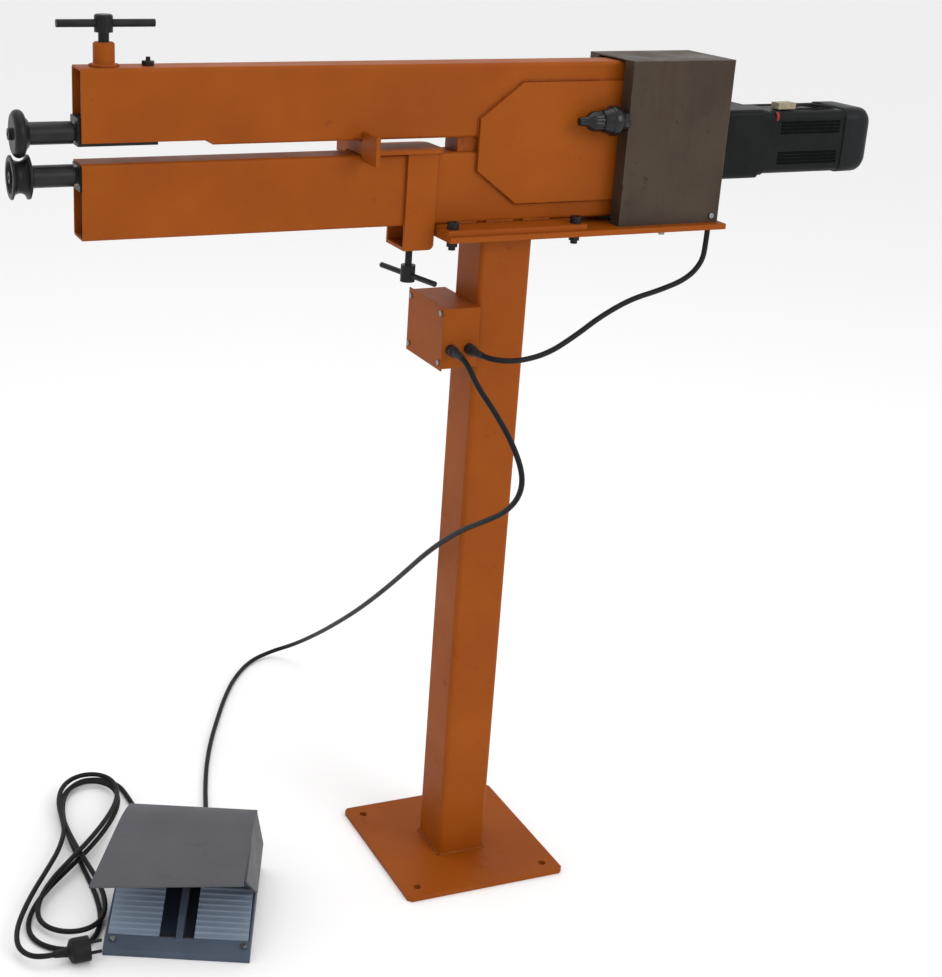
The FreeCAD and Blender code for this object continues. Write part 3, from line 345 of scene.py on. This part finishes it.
def make_finish(name, colours, rough, metal=0, blotch=0.12, grain=0.0015, depth=0.00006,
                edge=0.0009, worn=None, wear=0.5, gloss=0.3):
    """Finish with blotches between two colours, uneven roughness, fine grain and worn edges."""
    shader = Shader(name)
    shader.surface.inputs["Metallic"].default_value = metal
    shader.surface.inputs["Specular IOR Level"].default_value = gloss
    shader.surface.inputs["Base Color"].default_value = (*colours[0], 1)
    clouds = shader.limits(shader.noise(blotch, 5, 0.6), 0.35, 0.68)
    colour = shader.blend(clouds, colours[0], colours[1])
    if len(colours) > 2:
        spots = shader.limits(shader.noise(blotch / 6, 6, 0.7), 0.62, 0.74, 0, 0.7)
        colour = shader.blend(spots, colour, colours[2])
    normal = shader.soft_normal(edge)
    if worn:
        breakup = shader.limits(shader.noise(0.01, 4, 0.7), 0.42, 0.62, 0, wear)
        colour = shader.blend(shader.edges(normal, breakup), colour, worn)
    shader.wire(colour, shader.surface.inputs["Base Color"])
    fine = shader.noise(grain, 3, 0.6)
    uneven = shader.limits(shader.noise(blotch / 3, 5, 0.6), 0.3, 0.7,
                           rough - ROUGH_SWING / 2, rough + ROUGH_SWING / 2)
    shader.wire(uneven, shader.surface.inputs["Roughness"])
    shader.relief(fine, depth, normal)
    return shader.material


def make_finishes():
    """Every finish, by the record's slot name."""
    return {
        "orange": make_finish(
            "orange_paint", [(0.285, 0.066, 0.004), (0.24, 0.051, 0.003), (0.14, 0.029, 0.004)], 0.48,
            blotch=0.16, grain=0.004, depth=0.00015, worn=(0.13, 0.035, 0.012), wear=0.7, gloss=0.1),
        "black_steel": make_finish(
            "black_oxide", [(0.008, 0.008, 0.009), (0.015, 0.014, 0.015)], 0.36, blotch=0.02,
            grain=0.0012, worn=(0.08, 0.08, 0.085), wear=0.6, gloss=0.16),
        "shaft_steel": make_finish(
            "dark_ground_steel", [(0.009, 0.009, 0.010), (0.018, 0.017, 0.018)], 0.34, blotch=0.03,
            grain=0.001, worn=(0.12, 0.12, 0.125), wear=0.6, gloss=0.22),
        "bronze": make_finish(
            "bronze", [(0.30, 0.18, 0.07), (0.22, 0.12, 0.05)], 0.35, metal=1, blotch=0.01, grain=0.0008),
        "bare_sheet": make_bare_sheet(),
        "zinc_screw": make_finish(
            "zinc", [(0.30, 0.30, 0.31), (0.2, 0.2, 0.2)], 0.35, metal=1, blotch=0.005, grain=0.0006),
        "motor_black": make_finish(
            "motor_paint", [(0.005, 0.0055, 0.0055), (0.008, 0.009, 0.0088)], 0.42, blotch=0.04,
            grain=0.0015, depth=0.0001, worn=(0.035, 0.035, 0.035), wear=0.5, gloss=0.1),
        "cowl_black": make_finish(
            "cowl_plastic", [(0.008, 0.009, 0.0095), (0.012, 0.013, 0.014)], 0.4, blotch=0.05, grain=0.001,
            worn=(0.03, 0.03, 0.03), wear=0.4, gloss=0.12),
        "connector_cream": make_finish(
            "cream_plastic", [(0.30, 0.265, 0.18), (0.22, 0.19, 0.12)], 0.5, blotch=0.01, grain=0.0006),
        "selector_black": make_finish(
            "selector_plastic", [(0.006, 0.006, 0.007), (0.010, 0.010, 0.011)], 0.22, blotch=0.01,
            grain=0.0008, depth=0.00001, worn=(0.05, 0.05, 0.05), wear=0.5, gloss=0.3),
        "gland_black": make_finish(
            "gland_plastic", [(0.012, 0.012, 0.012), (0.02, 0.02, 0.02)], 0.45, blotch=0.01, grain=0.0006),
        "pedal_grey": make_finish(
            "pedal_paint", [(0.084, 0.085, 0.098), (0.074, 0.074, 0.084), (0.062, 0.055, 0.05)], 0.5,
            blotch=0.12, grain=0.0015, depth=0.00012, worn=(0.16, 0.18, 0.21), wear=0.7, gloss=0.15),
        "pedal_blue_grey": make_finish(
            "pedal_casting", [(0.068, 0.088, 0.122), (0.055, 0.072, 0.102)], 0.5, blotch=0.06,
            grain=0.0015, depth=0.00012, worn=(0.15, 0.18, 0.22), wear=0.6, gloss=0.15),
        # Treadles: the pedal casting's blue-grey painted lighter. This painted highlight offsets the shade
        # the hood casts on them.
        "treadle_painted_highlight": make_finish(
            "treadle_painted_highlight", [(0.21, 0.26, 0.335), (0.18, 0.225, 0.29)], 0.5, blotch=0.04,
            grain=0.0012, depth=0.0001, worn=(0.28, 0.33, 0.4), wear=0.6, gloss=0.2),
        "cord_black": make_finish(
            "cord_rubber", [(0.006, 0.006, 0.0065), (0.010, 0.0095, 0.010)], 0.5, blotch=0.03, grain=0.0012,
            depth=0.00008, edge=0.0002, gloss=0.15),
        "plug_black": make_finish(
            "plug_rubber", [(0.007, 0.007, 0.0075), (0.012, 0.012, 0.0125)], 0.48, blotch=0.02, grain=0.0012,
            gloss=0.15),
        "weld": make_finish(
            "painted_weld", [(0.26, 0.057, 0.004), (0.17, 0.034, 0.004)], 0.45, blotch=0.02, grain=0.003,
            depth=0.0003, gloss=0.12),
        "wire_red": make_finish(
            "red_wire", [(0.30, 0.02, 0.015), (0.22, 0.015, 0.01)], 0.45, blotch=0.01, grain=0.0008),
    }


def make_bare_sheet():
    """Unpainted sheet with brown stains, faint drips and scratches."""
    shader = Shader("bare_sheet_steel")
    shader.surface.inputs["Metallic"].default_value = 0.12
    shader.surface.inputs["Specular IOR Level"].default_value = 0.15
    shader.surface.inputs["Base Color"].default_value = (0.052, 0.036, 0.024, 1)
    clouds = shader.limits(shader.noise(0.09, 6, 0.62), 0.35, 0.7)
    colour = shader.blend(clouds, (0.058, 0.041, 0.028), (0.042, 0.029, 0.019))
    drips = shader.limits(shader.noise(0.03, 4, 0.6, (1, 1, 0.15)), 0.5, 0.75, 0, 0.7)
    colour = shader.blend(drips, colour, (0.040, 0.020, 0.012))
    spots = shader.limits(shader.noise(0.016, 5, 0.7), 0.62, 0.70, 0, 0.85)
    colour = shader.blend(spots, colour, (0.020, 0.011, 0.008))
    normal = shader.soft_normal(0.0012)
    breakup = shader.limits(shader.noise(0.012, 4, 0.7), 0.35, 0.6, 0, 0.8)
    colour = shader.blend(shader.edges(normal, breakup), colour, (0.24, 0.21, 0.18))
    shader.wire(colour, shader.surface.inputs["Base Color"])
    scratches = shader.noise(0.004, 3, 0.6, (0.08, 1, 1))
    shader.wire(shader.limits(shader.noise(0.05, 5, 0.6), 0.3, 0.7, 0.38, 0.6),
                shader.surface.inputs["Roughness"])
    shader.relief(scratches, 0.00005, normal)
    return shader.material


# Finishes that replace a node's slot: painted weld on the throat spacer, and on the treadles a lighter
# blue-grey that is a painted highlight against the hood's shade.
WELD_AND_HIGHLIGHT_FINISHES = {"left_treadle": "treadle_painted_highlight", "right_treadle": "treadle_painted_highlight",
                "throat_spacer": "weld"}


def dress_nodes(finishes):
    """Give every CAD node the finish of its slot, or the one listed for it: painted weld, or the treadles'
    lighter blue-grey that is a painted highlight.
    """
    slots = {row["node"]: row["material_slot"] for row in frame["record"]["subparts"]}
    for name, body in frame["nodes"].items():
        body.data.materials.clear()
        body.data.materials.append(finishes[WELD_AND_HIGHLIGHT_FINISHES.get(name, slots[name])])


# ---------------------------------------------------------------- pieces

def add_mesh(name, mesh, body, finish, smooth=True):
    """Put a bmesh into the scene as a piece that rides on a body."""
    data = bpy.data.meshes.new(name)
    mesh.to_mesh(data)
    mesh.free()
    for face in data.polygons:
        face.use_smooth = smooth
    data.materials.append(finish)
    piece = bpy.data.objects.new(name, data)
    bpy.context.collection.objects.link(piece)
    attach(piece, body)
    return piece


def weld_rings(mesh, path, radius, closed=False):
    """Rippled bead along a path of points."""
    ripple = radius * 1.1
    spots = []
    pairs = list(zip(path, path[1:] + path[:1])) if closed else list(zip(path, path[1:]))
    for start, end in pairs:
        run = Vector(end) - Vector(start)
        count = max(int(run.length / (ripple / 4)), 1)
        spots += [(Vector(start) + run * step / count, run.normalized()) for step in range(count)]
    rings = []
    for index, (spot, along) in enumerate(spots):
        phase = index * math.pi / 2
        size = radius * (0.86 + 0.14 * math.cos(phase) + 0.08 * math.sin(index * 0.37))
        rings.append(ring(mesh, spot, along, size, 8, along.orthogonal().normalized()))
    if closed:
        bridge(mesh, rings + rings[:1])
    else:
        close_tube(mesh, rings)


def rectangle_path(low, high, level):
    """Corners of a box's outline at a level."""
    return [(low[0], low[1], level), (high[0], low[1], level), (high[0], high[1], level),
            (low[0], high[1], level)]


# The beads between the foot plate and the arm: where they start along X, and their length.
FOOT_BEADS = range(-88, 70, 58)
FOOT_BEAD = 44


def add_welds(finish):
    """Beads round the column's ends, along the arm's foot, round the boss and on the gussets."""
    mesh = bmesh.new()
    low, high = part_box("column")
    weld_rings(mesh, rectangle_path(low, high, low[2]), 3.2 * MM, closed=True)
    weld_rings(mesh, rectangle_path(low, high, high[2] - 1 * MM), 2.6 * MM, closed=True)
    arm_low, arm_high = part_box("lower_arm")
    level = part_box("machine_foot_plate")[1][2] + 1 * MM
    for y in (arm_low[1], arm_high[1]):
        for start in FOOT_BEADS:
            weld_rings(mesh, [(start * MM, y, level), ((start + FOOT_BEAD) * MM, y, level)], 3.4 * MM)
    for node in ("near_gusset", "far_gusset"):
        add_gusset_weld(mesh, node, arm_low, arm_high)
    low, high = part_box("screw_boss")
    centre = ((low[0] + high[0]) / 2, (low[1] + high[1]) / 2)
    radius = (high[0] - low[0]) / 2
    rim = [(centre[0] + radius * math.cos(turn), centre[1] + radius * math.sin(turn),
            low[2] + 1 * MM) for turn in circle(20)]
    weld_rings(mesh, rim, 2 * MM, closed=True)
    add_mesh("weld_beads", mesh, "stand", finish)


# The gusset's corners: how far along X its slopes run, and half the height of its blunt end.
GUSSET_SLOPE, GUSSET_NOSE = 63 * MM, 36 * MM
THROAT_CLEAR = 11 * MM


def add_gusset_weld(mesh, node, arm_low, arm_high):
    """Small beads along the gusset's blunt end and slopes, on either side of the throat."""
    low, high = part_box(node)
    near = abs(low[1]) > abs(high[1])
    y = arm_low[1] if near else arm_high[1]
    middle = (low[2] + high[2]) / 2
    left = low[0] - 1 * MM
    for sign, edge in ((-1, low[2]), (1, high[2])):
        rim = edge + sign * 1 * MM
        weld_rings(mesh, [
            (left, y, middle + sign * THROAT_CLEAR), (left, y, middle + sign * GUSSET_NOSE),
            (low[0] + GUSSET_SLOPE, y, rim), (low[0] + 2.9 * GUSSET_SLOPE, y, rim)], 1.8 * MM)


FENCE_BEAD_LEVEL = 1147 * MM


def add_guide_welds(finish):
    """Bead where the fence stands on the guide's strap."""
    mesh = bmesh.new()
    low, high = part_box("guide_strap")
    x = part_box("guide_fence")[1][0]
    weld_rings(mesh, [(x, low[1] + 11 * MM, FENCE_BEAD_LEVEL), (x, high[1] - 6 * MM, FENCE_BEAD_LEVEL)],
               2 * MM)
    add_mesh("guide_weld_bead", mesh, "guide", finish)


FIN_PITCH, FIN_BAND = 5 * MM, 22 * MM
FIN_DEPTH = 3.2 * MM
MOTOR_CORNER = 11 * MM
COWL_CORNER = 17 * MM
COWL_DOME = 22 * MM


def rounded_square(half, corner, groove):
    """Outline of a square with round corners; grooves run in bands beside the corners."""
    points = []
    flat = half - corner
    for quarter in range(4):
        turn = quarter * math.pi / 2
        outward = Vector((math.cos(turn), math.sin(turn)))
        sideways = Vector((-math.sin(turn), math.cos(turn)))
        steps = 28
        for step in range(steps + 1):
            along = -flat + 2 * flat * step / steps
            near_corner = abs(along) > flat - FIN_BAND
            dip = groove if near_corner and int((flat - abs(along)) / FIN_PITCH * 2) % 2 else 0
            points.append(outward * (half - dip) + sideways * along)
        for step in range(1, 6):
            bend = turn + math.pi / 2 * step / 6
            round_way = Vector((math.cos(bend), math.sin(bend)))
            points.append((outward + sideways) * flat + round_way * corner)
    return points


def add_shell(name, sections, axis_level, finish):
    """Closed shell lofted along X through (x, half, corner, groove) sections about an axis."""
    mesh = bmesh.new()
    rings = []
    for x, half, corner, groove in sections:
        outline = rounded_square(half, corner, groove)
        rings.append([mesh.verts.new((x, point.x, axis_level + point.y)) for point in outline])
    close_tube(mesh, rings)
    bmesh.ops.recalc_face_normals(mesh, faces=mesh.faces)
    return add_mesh(name, mesh, "stand", finish, smooth=False)


def add_motor(finishes):
    """Finned motor, its rounded fan cowl and the short wires on top."""
    low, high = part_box("motor_body")
    half = (high[1] - low[1]) / 2
    level = (low[2] + high[2]) / 2
    left, right = low[0], high[0]
    body = half - 2 * MM
    sections = [(left, half, 12 * MM, 0), (left + 12 * MM, half, 12 * MM, 0)]
    for x, groove in ((left + 12.1 * MM, 0), (left + 34 * MM, 0), (left + 36 * MM, FIN_DEPTH),
                      (right - 9 * MM, FIN_DEPTH), (right - 7 * MM, 0), (right, 0)):
        sections.append((x, body, MOTOR_CORNER, groove))
    shell = add_shell("motor_shell", sections, level, finishes["motor_black"])
    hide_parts("motor_body")
    low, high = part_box("fan_cowl")
    left, right = low[0], high[0]
    sections = [(left, half - 0.8 * MM, 14 * MM, 0), (left + 1 * MM, half, 15 * MM, 0),
                (right - COWL_DOME, half, COWL_CORNER, 0)]
    for step in range(1, 7):
        bend = math.pi / 2 * step / 6
        sections.append((right - COWL_DOME * (1 - math.sin(bend)),
                         half - 20 * MM * (1 - math.cos(bend)), COWL_CORNER, 0))
    cowl = add_shell("fan_cowl_shell", sections, level, finishes["cowl_black"])
    for face in cowl.data.polygons:
        face.use_smooth = abs(face.normal.x) < 0.999
    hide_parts("fan_cowl")
    add_wiring(finishes)


# Each black wire on the motor, in millimetres: how far it bows up, and its length along X.
WIRES = [(7, 62), (4, 48), (9, 74)]


def add_wiring(finishes):
    """Short black wires from the connector along the motor's top, and a red wire end beside it."""
    low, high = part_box("motor_connector")
    top = low[2]
    mesh = bmesh.new()
    gauge = 1.6 * MM
    for lane, (bow, end) in enumerate(WIRES):
        path = []
        for step in range(17):
            share = step / 16
            x = high[0] - 2 * MM + end * MM * share
            y = low[1] + (5 + 4.5 * lane) * MM + (6 - 7 * lane) * MM * math.sin(math.pi * share / 2)
            z = top + gauge * 0.8 + (3 + bow * 0.5) * MM * math.sin(math.pi * share) * (1 - share)
            path.append(Vector((x, y, z)))
        rings = [ring(mesh, spot, (after - before).normalized(), gauge, 8)
                 for before, spot, after in zip(path[:1] + path, path, path[1:] + path[-1:])]
        close_tube(mesh, rings)
    add_mesh("motor_wires", mesh, "stand", finishes["cord_black"])
    mesh = bmesh.new()
    low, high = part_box("motor_body")
    start = Vector((low[0] + 27 * MM, low[1] + 5 * MM, high[2] - 16 * MM))
    path = [start + Vector((0, -3 * MM * math.sin(math.pi * step / 9), step * 1.5 * MM))
            for step in range(10)]
    close_tube(mesh, [ring(mesh, spot, Vector((0, 0, 1)), 2.2 * MM, 10) for spot in path])
    add_mesh("red_wire_end", mesh, "stand", finishes["wire_red"])


TURNED_SIDES = 48
FLUTES = 12
FLUTED_FROM = 11


def add_turned(name, node, body, finish, profile, flute=0):
    """Turned shell about X that stands for a node, flute millimetres deep where it is widest.

    The profile is (distance from the node's right end, radius) points in millimetres.
    """
    low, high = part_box(node)
    y = (low[1] + high[1]) / 2
    z = (low[2] + high[2]) / 2
    mesh = bmesh.new()
    rings = []
    for back, radius in profile:
        x = high[0] - back * MM
        depth = flute if radius > FLUTED_FROM else 0
        outline = []
        for turn in circle(TURNED_SIDES):
            reach = (radius - depth * max(math.cos(FLUTES * turn), 0)) * MM
            outline.append(mesh.verts.new((x, y + reach * math.cos(turn), z + reach * math.sin(turn))))
        rings.append(outline)
    close_tube(mesh, rings)
    bmesh.ops.recalc_face_normals(mesh, faces=mesh.faces)
    piece = add_mesh(name, mesh, body, finish)
    piece.data.set_sharp_from_angle(angle=math.radians(35))
    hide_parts(node)


def add_selector(finishes):
    """The selector's body and its turning nose, with softened rims and a fluted grip."""
    finish = finishes["selector_black"]
    add_turned("selector_housing", "selector_body", "stand", finish, [
        (0, 3.8), (11.8, 3.8), (11.9, 13.6), (19, 13.8), (20.5, 14.6), (28, 20), (29.5, 20.9),
        (31, 21), (37, 21), (38.2, 20.4), (39, 19), (45, 17), (51, 15.4), (52, 14.6), (52, 2)])
    add_turned("selector_nose", "selector_knob", "selector_knob", finish, [
        (0, 2), (0, 13.8), (0.8, 14.4), (3.6, 14.4), (13, 14), (14.6, 13.4), (18, 11.8), (22, 8),
        (23.6, 6.8), (33, 6), (34.6, 5.4), (35.5, 4), (35.6, 1)], flute=0.9)


# ---------------------------------------------------------------- light and floor

WORLD_STRENGTH = 0.92
KEY_WATTS = 62
TOP_WATTS = 34
FLOOR_GREY = (0.93, 0.93, 0.93, 1)


def add_floor():
    bpy.ops.mesh.primitive_plane_add(size=40, location=(0, 0, -0.0005))
    floor = bpy.context.object
    floor.name = "studio_floor"
    shader = Shader("pale_floor")
    shader.surface.inputs["Base Color"].default_value = FLOOR_GREY
    shader.surface.inputs["Roughness"].default_value = 0.9
    floor.data.materials.append(shader.material)


def add_area(name, place, target, size, power):
    data = bpy.data.lights.new(name, "AREA")
    data.size = size
    data.energy = power
    lamp = bpy.data.objects.new(name, data)
    lamp.location = place
    lamp.rotation_euler = (Vector(target) - Vector(place)).to_track_quat("-Z", "Y").to_euler()
    bpy.context.collection.objects.link(lamp)


def add_light():
    world = bpy.data.worlds.new("studio")
    world.use_nodes = True
    tree = world.node_tree
    tree.nodes["Background"].inputs["Color"].default_value = (1, 1, 1, 1)
    tree.nodes["Background"].inputs["Strength"].default_value = WORLD_STRENGTH
    bpy.context.scene.world = world
    middle = (0, 0, 0.8)
    add_area("key", (1.6, -3.6, 2.8), middle, 2.4, KEY_WATTS)
    add_area("top", (-0.4, 0.6, 4.2), middle, 3.0, TOP_WATTS)
    view = bpy.context.scene.view_settings
    view.view_transform = "Standard"
    view.look = "None"


# ---------------------------------------------------------------- build

add_camera()
finishes = make_finishes()
dress_nodes(finishes)
cords = add_cords(finishes["cord_black"])
add_sleeves(cords, finishes["gland_black"])
add_motor(finishes)
add_selector(finishes)
add_welds(finishes["weld"])
add_guide_welds(finishes["weld"])
add_floor()
add_light()

bpy.context.view_layer.update()
